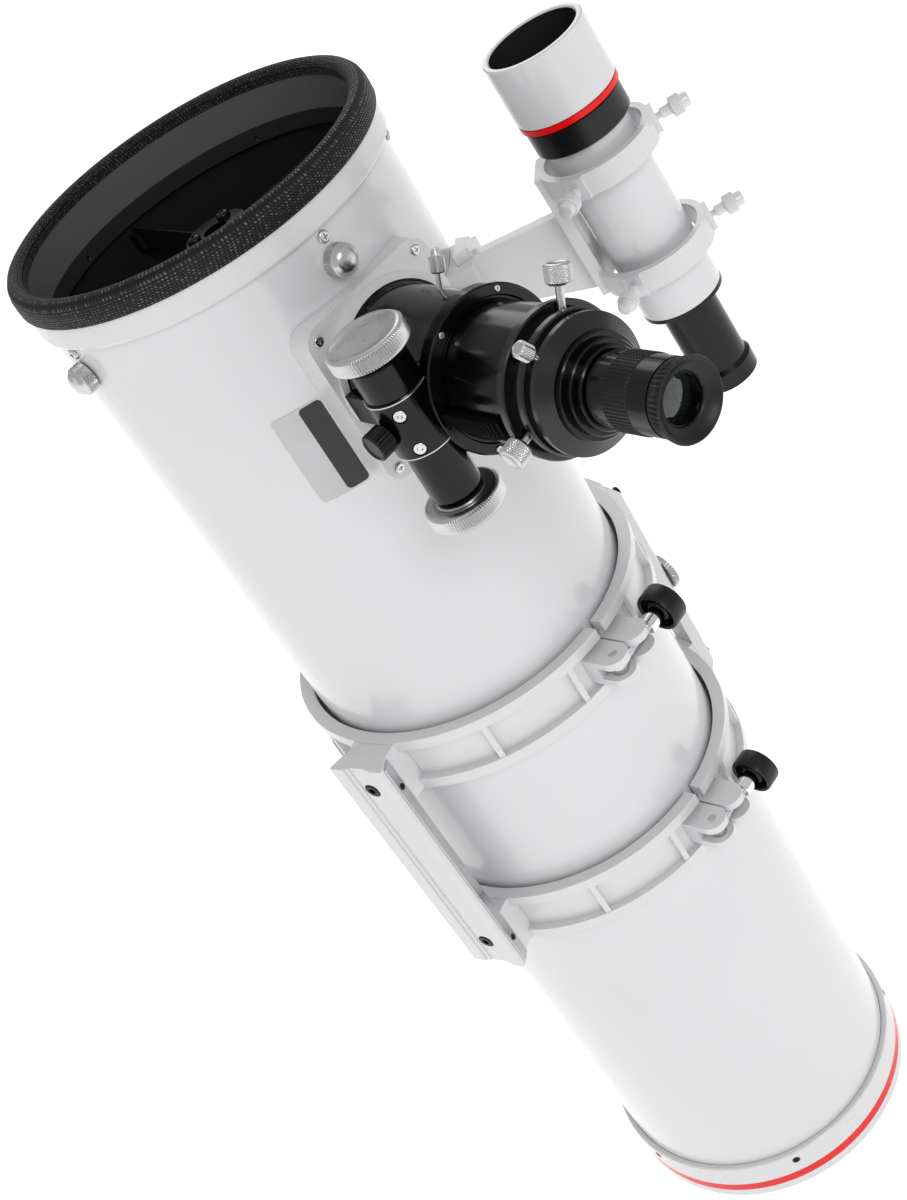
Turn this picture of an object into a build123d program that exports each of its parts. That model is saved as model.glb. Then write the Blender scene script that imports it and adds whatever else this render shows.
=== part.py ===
"""A Newtonian reflector tube on its mounting cradle, with focuser, eyepiece and finder.

Frame: Z is the optical axis, z = 0 is the rim that the rear cell stands on, and the mouth faces +Z.
The mounting bar is on the -Y side, the ring clamps on the +X side. Millimetres and degrees.
"""
from build123d import *
import os
from math import cos, pi, radians, sin, sqrt

os.makedirs("parts", exist_ok=True)

# ---- Tube and its two end castings ----
tube_radius = 115.0
tube_wall = 1.0
tube_bottom = 21.0
tube_top = 905.0
tube_inner = tube_radius - tube_wall
casting_radius = 119.5
rear_screw_seat = 118.3  # the screw heads sit in shallow recesses
casting_bore = tube_radius + 0.25
front_ring_bottom = 885.5
front_ring_top = 914.0
front_ring_bore = 110.0
front_skirt_bottom = 875.5
trim_outer = 121.7
trim_inner = 108.3
trim_top = 920.0
rear_cell_top = 39.0
rear_lip_inner = 108.0
front_screw_height = 879.0
front_screw_angles = (-106, -16, 37, 111, 184)
rear_screw_height = 30.0
rear_screw_angles = (-110, -49, 37, 120, 190)

# ---- Primary mirror and its cell ----
mirror_radius = 101.6
mirror_focal_length = 1000.0
mirror_bottom = 43.0
mirror_edge = 28.0
arm_bottom, arm_top = 12.0, 20.6
plate_bottom, plate_top = 34.0, 42.0
collimation_radius = 70.0
cell_angles = (90, 210, 330)

# ---- Spider and secondary mirror ----
focuser_angle = -16.1
focuser_height = 798.0
vane_bottom, vane_top = 854.0, 874.0
vane_height = (vane_bottom + vane_top) / 2
vane_angles = tuple(focuser_angle + 90 * k for k in range(4))
hub_radius = 21.0
hub_bottom, hub_top = 850.0, 878.0
secondary_radius = 29.0

# ---- Focuser, measured outward from the tube's axis ----
base_half_width = 48.0
base_low, base_high = -58.0, 50.0
base_face = 124.0
body_radius = 40.0
flange_radius = 45.5
flange_start, flange_end = 200.0, 208.0
drawtube_radius = 37.0
drawtube_bore = 34.5
drawtube_inner_end, drawtube_end = 112.0, 257.0
pinion_distance = 190.0
gear_pitch_radius = 6.5
gear_teeth = 13
tooth_pitch = 2 * pi * gear_pitch_radius / gear_teeth
pinion_offset = -(drawtube_radius + 4.5 + gear_pitch_radius)
wheel_radius = 23.0
wheel_thickness = 14.0
upper_wheel, lower_wheel = 47.0, -60.0

# ---- Rings, mounting bar and handle plate ----
ring_height = 44.0
ring_bottoms = {"rear": 357.6, "front": 519.7}
ring_inner, ring_web, ring_outer = 117.5, 121.0, 126.5
clamp_turn = -9.0  # the split and the clamps lie a little below the middle
lug_drop = 12.0
ring_rim = 8.0
lug_x, lug_y, lug_round = 140.0, 10.8, 10.2
lug_height = 20.0
hinge_x = -134.0
bar_face = -150.0
bar_inner_face = -137.0
bar_half_width = 22.0
bar_bottom, bar_top = 357.6, 563.7
ring_split = 3.0
slot_height = 9.0
knuckle_height = 14.0
liner_inner, liner_outer = 115.3, 117.3
bolt_radius, bolt_eye_half = 3.5, 4.2
bolt_end = 44.6
sleeve_start, knob_start, knob_end = 22.2, 34.5, 48.5
handle_angle = 68.0
handle_inner, handle_outer = 131.3, 141.0
handle_half_width = 10.0
camera_screw_height = 460.6
camera_screw_radius = 3.175
bar_hole_depth = 135.0
bar_bolt_heights = tuple(bottom + ring_height / 2 for bottom in ring_bottoms.values())

# ---- Finder ----
finder_angle = 26.3
finder_distance = 226.1
finder_height = 777.0
finder_tilt = 3.56
finder_radius = 25.5
finder_ring_inner, finder_ring_outer = 31.0, 35.5
finder_ring_spans = ((-27.0, 14.0), (42.0, 14.0))
foot_bottom, foot_top = 745.0, 807.0
shoe_bottom, shoe_top = 748.0, 800.0
shoe_screw_height = 778.0
running_clearance = 0.06


def outward(angle, height, distance=0.0):
    """A plane square to a radius of the tube, with local y up the tube."""
    a = radians(angle)
    return Plane(
        origin=(distance * cos(a), distance * sin(a), height),
        x_dir=(-sin(a), cos(a), 0),
        z_dir=(cos(a), sin(a), 0),
    )


def turned(plane, outline):
    """A closed outline of (radius, distance) points revolved about a plane's normal."""
    with BuildPart() as piece:
        with BuildSketch(Plane(plane.origin, x_dir=plane.x_dir, z_dir=-plane.y_dir)):
            with BuildLine():
                Polyline(*outline, close=True)
            make_face()
        revolve(axis=Axis(plane.origin, plane.z_dir))
    return piece.part


def rod(plane, radius, start, end):
    """A round rod along a plane's normal, between two distances from the plane."""
    with BuildPart() as piece:
        with BuildSketch(plane.offset(start)):
            Circle(radius)
        extrude(amount=end - start)
    return piece.part


def crosshead_screw(head_radius, head_height, shank_radius, shank_length):
    """A domed screw with a cross recess: the head stands on the XY plane, the shank goes below."""
    with BuildPart() as screw:
        with BuildSketch(Plane.XY):
            Circle(head_radius)
        extrude(amount=head_height)
        fillet(screw.edges().sort_by(Axis.Z)[-1], head_height * 0.7)
        with BuildSketch(Plane.XY):
            Circle(shank_radius)
        extrude(amount=-shank_length)
        with BuildSketch(Plane.XY.offset(head_height)):
            Rectangle(head_radius, head_radius * 0.24)
            Rectangle(head_radius * 0.24, head_radius)
        extrude(amount=-head_height * 0.6, mode=Mode.SUBTRACT)
    return screw.part


def socket_screw(head_radius, head_height, shank_radius, shank_length):
    """A cap screw with a hexagon socket: the head stands on the XY plane."""
    with BuildPart() as screw:
        with BuildSketch(Plane.XY):
            Circle(head_radius)
        extrude(amount=head_height)
        chamfer(screw.edges().sort_by(Axis.Z)[-1], head_height * 0.12)
        with BuildSketch(Plane.XY):
            Circle(shank_radius)
        extrude(amount=-shank_length)
        with BuildSketch(Plane.XY.offset(head_height)):
            RegularPolygon(head_radius * 0.5, 6)
        extrude(amount=-head_height * 0.6, mode=Mode.SUBTRACT)
    return screw.part


def finish(piece, name):
    """Label a finished piece and write it to its own file."""
    piece.label = name
    export_step(piece, f"parts/{name}.step")


focuser = outward(focuser_angle, focuser_height)
front_screw_planes = [outward(a, front_screw_height, tube_radius + 0.05) for a in front_screw_angles]
rear_screw_planes = [outward(a, rear_screw_height, rear_screw_seat) for a in rear_screw_angles]
vane_planes = [outward(a, vane_height) for a in vane_angles]

# ==== Tube and end castings ====

with BuildPart() as main_tube:
    with BuildSketch(Plane.XY.offset(tube_bottom)):
        Circle(tube_radius)
        Circle(tube_inner, mode=Mode.SUBTRACT)
    extrude(amount=tube_top - tube_bottom)
    with Locations(focuser.offset(tube_radius)):
        Cylinder(44.0, 40.0, mode=Mode.SUBTRACT)
    with Locations(*[plane.offset(tube_radius) for plane in vane_planes]):
        Cylinder(2.7, 20.0, mode=Mode.SUBTRACT)
    with Locations(*front_screw_planes, *rear_screw_planes):
        Cylinder(1.7, 16.0, mode=Mode.SUBTRACT)
finish(main_tube.part, "main_tube")

with BuildPart() as front_ring:
    add(turned(Plane.XY, [
        (casting_bore, front_ring_bottom), (casting_radius - 0.6, front_ring_bottom),
        (casting_radius, front_ring_bottom + 1.2), (casting_radius, front_ring_top),
        (front_ring_bore, front_ring_top), (front_ring_bore, front_skirt_bottom),
        (tube_inner - 0.2, front_skirt_bottom), (tube_inner - 0.2, tube_top + 0.2),
        (casting_bore, tube_top + 0.2),
    ]))
    with Locations(*front_screw_planes):
        Cylinder(1.7, 16.0, mode=Mode.SUBTRACT)
finish(front_ring.part, "front_ring")

# The soft trim is a U section with a rounded top that grips the front ring.
with BuildPart() as edge_trim:
    with BuildSketch(Plane.XZ):
        with BuildLine():
            outer_leg = Line((trim_outer, 901), (trim_outer, 912))
            crown = ThreePointArc((trim_outer, 912), (tube_radius, trim_top), (trim_inner, 912))
            inner_leg = Line((trim_inner, 912), (trim_inner, 897))
            Polyline(
                (trim_inner, 897), (front_ring_bore - 0.2, 897),
                (front_ring_bore - 0.2, front_ring_top + 0.2),
                (casting_radius + 0.2, front_ring_top + 0.2), (casting_radius + 0.2, 901),
                (trim_outer, 901),
            )
        make_face()
    revolve(axis=Axis.Z)
finish(edge_trim.part, "edge_trim")

pan_screw = crosshead_screw(3.8, 2.2, 1.5, 4.3)
with BuildPart() as front_ring_screws:
    with Locations(*front_screw_planes):
        add(pan_screw)
finish(front_ring_screws.part, "front_ring_screws")

with BuildPart() as rear_cell:
    add(turned(Plane.XY, [
        (rear_lip_inner, 0), (casting_radius - 1.0, 0), (casting_radius, 1.0),
        (casting_radius, rear_cell_top - 1.0), (casting_radius - 1.0, rear_cell_top),
        (casting_bore, rear_cell_top), (casting_bore, tube_bottom - 0.2),
        (rear_lip_inner, tube_bottom - 0.2),
    ]))
    with BuildSketch(Plane.XY.offset(arm_bottom)):
        Circle(24.0)
        for angle in cell_angles:
            with PolarLocations(60.0, 1, start_angle=angle):
                Rectangle(100.0, 26.0)
        Circle(10.0, mode=Mode.SUBTRACT)
    extrude(amount=arm_top - arm_bottom)
    with PolarLocations(collimation_radius, 3, start_angle=cell_angles[0]):
        Cylinder(2.7, 80.0, mode=Mode.SUBTRACT)
    with PolarLocations(collimation_radius + 16, 3, start_angle=cell_angles[0]):
        Cylinder(2.2, 80.0, mode=Mode.SUBTRACT)
    with Locations(*rear_screw_planes):
        Cylinder(1.7, 16.0, mode=Mode.SUBTRACT)
        Cylinder(3.3, 3.0, align=(Align.CENTER, Align.CENTER, Align.MIN), mode=Mode.SUBTRACT)
finish(rear_cell.part, "rear_cell")

cell_screw = crosshead_screw(3.0, 1.6, 1.5, 4.1)
with BuildPart() as rear_cell_screws:
    with Locations(*rear_screw_planes):
        add(cell_screw)
finish(rear_cell_screws.part, "rear_cell_screws")

# ==== Primary mirror ====

with BuildPart() as mirror_cell:
    with BuildSketch(Plane.XY.offset(plate_bottom)):
        Circle(107.0)
        Circle(15.0, mode=Mode.SUBTRACT)
        with PolarLocations(58.0, 6, start_angle=0):
            Circle(15.0, mode=Mode.SUBTRACT)
    extrude(amount=plate_top - plate_bottom)
    add(turned(Plane.XY, [(86, plate_top), (90, plate_top), (90, mirror_bottom), (86, mirror_bottom)]))
finish(mirror_cell.part, "mirror_cell")

# The face is a shallow sphere of twice the focal length.
mirror_curve = 2 * mirror_focal_length
mirror_top = mirror_bottom + mirror_edge
sphere_centre = mirror_top + sqrt(mirror_curve ** 2 - mirror_radius ** 2)
with BuildPart() as primary_mirror:
    with BuildSketch(Plane.XZ):
        with BuildLine():
            Polyline(
                (0, sphere_centre - mirror_curve), (0, mirror_bottom), (mirror_radius, mirror_bottom),
                (mirror_radius, mirror_top),
            )
            RadiusArc((mirror_radius, mirror_top), (0, sphere_centre - mirror_curve), mirror_curve)
        make_face()
    revolve(axis=Axis.Z)
finish(primary_mirror.part, "primary_mirror")

with BuildPart() as mirror_clips:
    add(turned(Plane.XY, [
        (102.2, plate_top), (106.0, plate_top), (106.0, mirror_top + 3), (96.0, mirror_top + 3),
        (96.0, mirror_top + 0.8), (102.2, mirror_top + 0.8),
    ]))
    with BuildSketch(Plane.XY.offset(plate_top)):
        with PolarLocations(100.0, 3, start_angle=30):
            Rectangle(40.0, 14.0)
    extrude(amount=60.0, mode=Mode.INTERSECT)
finish(mirror_clips.part, "mirror_clips")

with BuildPart() as collimation_screws:
    with PolarLocations(collimation_radius, 3, start_angle=cell_angles[0]):
        add(turned(Plane.XY, [(0, 1.5), (7.5, 1.5), (8.0, 2.5), (8.0, 10.5), (7.0, 11.8), (2.5, 11.8),
                              (2.5, 32.4), (0, 32.4)]))
    with PolarLocations(collimation_radius + 16, 3, start_angle=cell_angles[0]):
        add(turned(Plane.XY, [(0, 5.0), (3.6, 5.0), (4.0, 6.0), (4.0, 11.8), (2.0, 11.8),
                              (2.0, 32.0), (0, 32.0)]))
finish(collimation_screws.part, "collimation_screws")

with BuildPart() as collimation_springs:
    with PolarLocations(collimation_radius, 3, start_angle=cell_angles[0]):
        for turn in range(6):
            with Locations((0, 0, arm_top + 1.2 + 1.9 * turn)):
                Torus(4.6, 0.9)
finish(collimation_springs.part, "collimation_springs")

# ==== Spider and secondary mirror ====

with BuildPart() as spider_vanes:
    for plane in vane_planes:
        with BuildSketch(plane.offset(hub_radius + 0.05)):
            Rectangle(0.8, vane_top - vane_bottom)
        extrude(amount=109.0 - hub_radius)
        with BuildSketch(plane.offset(104.0)):
            Rectangle(7.0, 10.0)
        extrude(amount=9.4)
        with BuildSketch(plane.offset(113.4)):
            Circle(2.5)
        extrude(amount=7.0)
finish(spider_vanes.part, "spider_vanes")

vane_knob = turned(Plane.XY, [(2.6, 0.4), (8.6, 0.4), (9.4, 1.2), (9.4, 9.0), (8.4, 10.6), (6.0, 11.8),
                              (3.0, 12.5), (0, 12.7), (0, 6.0), (2.6, 6.0)])
with BuildPart() as vane_knobs:
    with Locations(*[plane.offset(tube_radius) for plane in vane_planes]):
        add(vane_knob)
finish(vane_knobs.part, "vane_knobs")

with BuildPart() as spider_hub:
    add(turned(Plane.XY, [
        (4.5, hub_bottom), (hub_radius, hub_bottom), (hub_radius, hub_top - 1), (hub_radius - 1, hub_top),
        (8.0, hub_top), (8.0, hub_top - 8), (4.5, hub_top - 8),
    ]))
    with PolarLocations(14.0, 3, start_angle=focuser_angle):
        Cylinder(2.2, 2000.0, mode=Mode.SUBTRACT)
finish(spider_hub.part, "spider_hub")

hub_screw = crosshead_screw(4.4, 3.2, 2.0, 30.2)
with BuildPart() as secondary_screws:
    with Locations((0, 0, hub_top)):
        with PolarLocations(14.0, 3, start_angle=focuser_angle):
            add(hub_screw)
finish(secondary_screws.part, "secondary_screws")

# The secondary's face crosses the optical axis at 45 degrees and looks down and out to the focuser.
outward_x, outward_y = cos(radians(focuser_angle)), sin(radians(focuser_angle))
secondary_face = Plane(
    origin=(0, 0, focuser_height),
    x_dir=(-outward_y, outward_x, 0),
    z_dir=(-outward_x, -outward_y, 1),
)
with BuildPart() as secondary_mirror:
    with BuildSketch(secondary_face):
        Ellipse(secondary_radius, secondary_radius * sqrt(2))
    extrude(amount=8.0)
finish(secondary_mirror.part, "secondary_mirror")

with BuildPart() as secondary_holder:
    with BuildSketch(Plane.XY.offset(focuser_height - 40)):
        Circle(secondary_radius)
    extrude(amount=847.0 - focuser_height + 40)
    split(bisect_by=secondary_face.offset(8.3), keep=Keep.TOP)
    with BuildSketch(Plane.XY.offset(846.0)):
        Circle(3.0)
    extrude(amount=hub_top - 8 + 0.5 - 846.0)
    with BuildSketch(Plane.XY.offset(hub_top - 8 + 0.4)):
        Circle(6.0)
    extrude(amount=4.5)
finish(secondary_holder.part, "secondary_holder")

# ==== Focuser: base, body and drawtube ====

base_screw_spots = [(a, b) for a in (-40, 40) for b in (-50, 42)]
with BuildPart() as focuser_base:
    with BuildSketch(focuser.offset(98.0)):
        with Locations((0, (base_low + base_high) / 2)):
            RectangleRounded(2 * base_half_width, base_high - base_low, 12.0)
    extrude(amount=base_face - 98.0)
    with BuildSketch(Plane.XY.offset(700)):
        Circle(tube_radius + 0.3)
    extrude(amount=200, mode=Mode.SUBTRACT)
    with BuildSketch(focuser.offset(90.0)):
        Circle(44.0)
    extrude(amount=60.0, mode=Mode.SUBTRACT)
    with Locations(focuser.offset(base_face)):
        with Locations(*base_screw_spots):
            Cylinder(1.7, 16.0, mode=Mode.SUBTRACT)
finish(focuser_base.part, "focuser_base")

pinion = Plane(
    origin=focuser.from_local_coords(Vector(pinion_offset, 0, pinion_distance)),
    x_dir=focuser.x_dir,
    z_dir=focuser.y_dir,
)
block_face = Plane(
    origin=pinion.origin,
    x_dir=pinion.z_dir,
    z_dir=focuser.z_dir - focuser.x_dir,
)
block_screw_spots = [(-4.0, 0), (18.0, 0)]
block_middle = 8.5
tension_plane = Plane(
    origin=pinion.origin + pinion.z_dir * block_middle,
    x_dir=pinion.z_dir,
    z_dir=-focuser.x_dir,
)
flange_screw_spots = [(42.2 * cos(radians(a)), 42.2 * sin(radians(a))) for a in (56, 116, 236, 296, 356)]
lock_direction = radians(65)
lock_plane = Plane(
    origin=focuser.from_local_coords(Vector(0, 0, 168.0)),
    x_dir=focuser.z_dir,
    z_dir=focuser.x_dir * cos(lock_direction) + focuser.y_dir * sin(lock_direction),
)
with BuildPart() as focuser_body:
    add(turned(focuser, [
        (drawtube_radius + 0.3, base_face + 0.1), (46.5, base_face + 0.1), (46.5, base_face + 3),
        (body_radius + 1.5, base_face + 4.5), (body_radius, base_face + 8), (body_radius, flange_start - 6),
        (flange_radius, flange_start), (flange_radius, flange_end - 1), (flange_radius - 1, flange_end),
        (drawtube_radius + 2.4, flange_end), (drawtube_radius + 1.6, flange_end - 1.2),
        (drawtube_radius + 0.3, flange_end - 1.2),
    ]))
    # pinion housing: two bearing barrels and a thicker middle block
    add(turned(pinion, [(0, -44), (14.4, -44), (15.0, -43.4), (15.0, -10), (0, -10)]))
    add(turned(pinion, [(0, -10), (17.2, -10), (17.6, -9.4), (17.6, 26.4), (17.2, 27), (0, 27)]))
    add(turned(pinion, [(0, 27), (16.5, 27), (16.5, 45.2), (15.7, 46), (0, 46)]))
    with BuildSketch(focuser.offset(176)):
        with Locations((-38, 8.5)):
            Rectangle(20, 37)
    extrude(amount=24)
    with BuildSketch(focuser.offset(base_face + 4)):
        with Locations((-38.5, 0)):
            Rectangle(16, 18)
    extrude(amount=flange_start - base_face - 4)
    # bore, rack channel, gear pocket, shaft bearing and screw holes
    with BuildSketch(focuser.offset(base_face)):
        Circle(drawtube_radius + 0.3)
    extrude(amount=100, mode=Mode.SUBTRACT)
    with BuildSketch(focuser.offset(base_face)):
        with Locations((-39.4, 0)):
            Rectangle(6.8, 10.4)
    extrude(amount=100, mode=Mode.SUBTRACT)
    add(rod(pinion, 8.0, -6.0, 6.0), mode=Mode.SUBTRACT)
    add(rod(pinion, 3.0 + running_clearance, -60.0, 60.0), mode=Mode.SUBTRACT)
    add(rod(lock_plane, 1.6 + running_clearance, 30.0, 60.0), mode=Mode.SUBTRACT)
    add(rod(tension_plane, 2.5 + running_clearance, 5.0, 30.0), mode=Mode.SUBTRACT)
    with Locations(block_face):
        with Locations(*block_screw_spots):
            with Locations((0, 0, 14.5)):
                Cylinder(4.0, 20.0, align=(Align.CENTER, Align.CENTER, Align.MIN), mode=Mode.SUBTRACT)
    with Locations(focuser.offset(flange_end)):
        with Locations(*flange_screw_spots):
            Cylinder(1.0, 8.0, mode=Mode.SUBTRACT)
finish(focuser_body.part, "focuser_body")

base_screw = crosshead_screw(3.2, 1.4, 1.5, 7.0)
flange_screw = crosshead_screw(1.9, 0.9, 0.85, 3.5)
block_screw = socket_screw(3.6, 2.6, 0.1, 0.1)
with BuildPart() as focuser_screws:
    with Locations(focuser.offset(base_face + 0.02)):
        with Locations(*base_screw_spots):
            add(base_screw)
    with Locations(focuser.offset(flange_end + 0.02)):
        with Locations(*flange_screw_spots):
            add(flange_screw)
    with Locations(block_face):
        with Locations(*block_screw_spots):
            with Locations((0, 0, 14.6)):
                add(block_screw)
finish(focuser_screws.part, "focuser_screws")

with BuildPart() as drawtube:
    add(turned(focuser, [
        (drawtube_bore, drawtube_inner_end), (drawtube_radius, drawtube_inner_end),
        (drawtube_radius, drawtube_end), (drawtube_bore, drawtube_end),
    ]))
finish(drawtube.part, "drawtube")

# Rack and pinion teeth are thinner than half a pitch, so that the pair runs with backlash.
rack_back = -(drawtube_radius + 0.05)
rack_root = rack_back - 3.55
rack_tip = rack_root - 1.6
rack_plane = Plane(origin=focuser.origin, x_dir=focuser.x_dir, z_dir=-focuser.y_dir)
with BuildPart() as drawtube_rack:
    with BuildSketch(rack_plane.offset(-4.5)):
        with BuildLine():
            Polyline((rack_back, 116), (rack_root, 116), (rack_root, 252), (rack_back, 252), close=True)
        make_face()
        for tooth in range(-21, 19):
            middle = pinion_distance + (tooth + 0.5) * tooth_pitch
            with BuildLine():
                Polyline(
                    (rack_root + 0.2, middle - 1.0), (rack_root, middle - 1.0), (rack_tip, middle - 0.4),
                    (rack_tip, middle + 0.4), (rack_root, middle + 1.0), (rack_root + 0.2, middle + 1.0),
                    close=True,
                )
            make_face()
    extrude(amount=9.0)
finish(drawtube_rack.part, "drawtube_rack")

with BuildPart() as pinion_shaft:
    add(rod(pinion, 3.0, lower_wheel, upper_wheel + wheel_thickness - 3))
    with BuildSketch(pinion.offset(-5.0)):
        Circle(5.5)
        with PolarLocations(0, gear_teeth, start_angle=0):
            with BuildLine():
                Polyline((5.2, -0.95), (7.2, -0.4), (7.2, 0.4), (5.2, 0.95), close=True)
            make_face()
    extrude(amount=10.0)
finish(pinion_shaft.part, "pinion_shaft")

upper_outline = [(3.03, upper_wheel), (11.0, upper_wheel), (12.0, upper_wheel + 2.4),
                 (wheel_radius - 1.2, upper_wheel + 2.4), (wheel_radius, upper_wheel + 3.6),
                 (wheel_radius, upper_wheel + wheel_thickness - 1.2),
                 (wheel_radius - 1.2, upper_wheel + wheel_thickness),
                 (0, upper_wheel + wheel_thickness), (0, upper_wheel + wheel_thickness - 2.9),
                 (3.03, upper_wheel + wheel_thickness - 2.9)]
with BuildPart() as focus_wheels:
    add(turned(pinion, upper_outline))
    add(turned(pinion, [
        (3.03, -46.4), (11.0, -46.4), (12.0, -48.6), (wheel_radius - 1.2, -48.6), (wheel_radius, -49.8),
        (wheel_radius, lower_wheel - 1.2), (wheel_radius - 1.2, lower_wheel - 2.4),
        (0, lower_wheel - 2.4), (0, lower_wheel - 0.1), (3.03, lower_wheel - 0.1),
    ]))
finish(focus_wheels.part, "focus_wheels")

with BuildPart() as tension_knob:
    add(turned(tension_plane, [
        (0, 6.0), (2.5, 6.0), (2.5, 18.2), (7.6, 18.2), (8.4, 19.0), (8.4, 28.6), (7.6, 29.4), (0, 29.4),
    ]))
finish(tension_knob.part, "tension_knob")

with BuildPart() as focus_lock_screw:
    add(turned(lock_plane, [
        (0, 38.2), (1.6, 38.2), (1.6, 49.0), (3.8, 49.0), (4.4, 49.8), (4.4, 57.4), (3.6, 58.2), (2.4, 58.2),
        (2.4, 60.0), (1.6, 61.6), (0, 62.2),
    ]))
finish(focus_lock_screw.part, "focus_lock_screw")

# ==== Eyepiece clamp, reducer and eyepiece ====

clamp_bore = 25.45
# each thumbscrew: name, angle round the drawtube, distance out, stem radius, head radius, head start
thumbscrews = {
    "upper_thumbscrew": (64, 265.6, 2.2, 7.2, 49.0, 11.0),
    "side_thumbscrew": (120, 279.4, 1.6, 4.6, 40.5, 10.0),
    "lower_thumbscrew": (188, 265.6, 2.2, 7.2, 42.0, 11.0),
}
thumbscrew_planes = {}
for name, (angle, distance, *rest) in thumbscrews.items():
    turn = radians(angle)
    thumbscrew_planes[name] = Plane(
        origin=focuser.from_local_coords(Vector(0, 0, distance)),
        x_dir=focuser.z_dir,
        z_dir=focuser.x_dir * cos(turn) + focuser.y_dir * sin(turn),
    )
with BuildPart() as eyepiece_clamp:
    add(turned(focuser, [
        (clamp_bore, 252), (34.3, 252), (34.3, 257.1), (40.2, 257.1), (41.0, 258.0), (41.0, 262.0),
        (40.2, 262.8), (35.5, 262.8), (35.5, 268.4), (37.0, 268.4), (37.6, 269.2), (37.6, 272.8),
        (36.8, 273.8), (34.8, 273.8), (34.8, 276.6), (36.0, 277.2), (36.4, 278.2), (36.4, 281.4),
        (27.8, 286.0), (clamp_bore, 286.0),
    ]))
    for name, (angle, distance, stem_radius, *rest) in thumbscrews.items():
        add(rod(thumbscrew_planes[name], stem_radius + running_clearance, 20.0, 48.0), mode=Mode.SUBTRACT)
finish(eyepiece_clamp.part, "eyepiece_clamp")

for name, (angle, distance, stem_radius, head_radius, head_start, head_length) in thumbscrews.items():
    head_end = head_start + head_length
    thumbscrew = turned(thumbscrew_planes[name], [
        (0, 25.9), (stem_radius, 25.9), (stem_radius, head_start), (head_radius - 0.7, head_start),
        (head_radius, head_start + 0.7), (head_radius, head_end - 0.7), (head_radius - 0.7, head_end),
        (0, head_end),
    ])
    finish(thumbscrew, name)

with BuildPart() as reducer:
    add(turned(focuser, [
        (15.95, 262), (25.39, 262), (25.39, 286.2), (27.0, 286.2), (27.8, 287.0), (27.8, 289.4), (27.0, 290.2),
        (24.6, 290.2), (24.6, 293.4), (23.8, 294.2), (21.6, 294.2), (21.6, 297.4), (20.8, 298.2),
        (15.95, 298.2),
    ]))
finish(reducer.part, "reducer")

with BuildPart() as eyepiece_body:
    add(turned(focuser, [
        (12.5, 268), (15.87, 268), (15.87, 298.4), (18.6, 298.4), (19.4, 299.4), (19.4, 310.5),
        (18.4, 310.5), (18.4, 328.2), (19.8, 328.2), (19.8, 341.2), (17.6, 341.2), (17.6, 345.0),
        (12.5, 345.0),
    ]))
finish(eyepiece_body.part, "eyepiece_body")

with BuildPart() as eyepiece_grip:
    add(turned(focuser, [
        (18.45, 310.7), (20.0, 310.7), (20.5, 311.4), (20.5, 327.3), (20.0, 328.0), (18.45, 328.0),
    ]))
finish(eyepiece_grip.part, "eyepiece_grip")

with BuildPart() as eyecup:
    add(turned(focuser, [
        (17.65, 341.4), (19.5, 341.4), (19.7, 343.5), (21.6, 350.4), (21.2, 351.4), (20.2, 351.2),
        (13.5, 346.6), (13.0, 345.2), (17.65, 345.2),
    ]))
finish(eyecup.part, "eyecup")

with BuildPart() as eye_lens:
    add(turned(focuser, [
        (0, 336.0), (12.4, 337.0), (12.4, 339.4), (9.0, 340.2), (4.5, 340.7), (0, 340.9),
    ]))
finish(eye_lens.part, "eye_lens")

# ==== Tube rings ====


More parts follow.
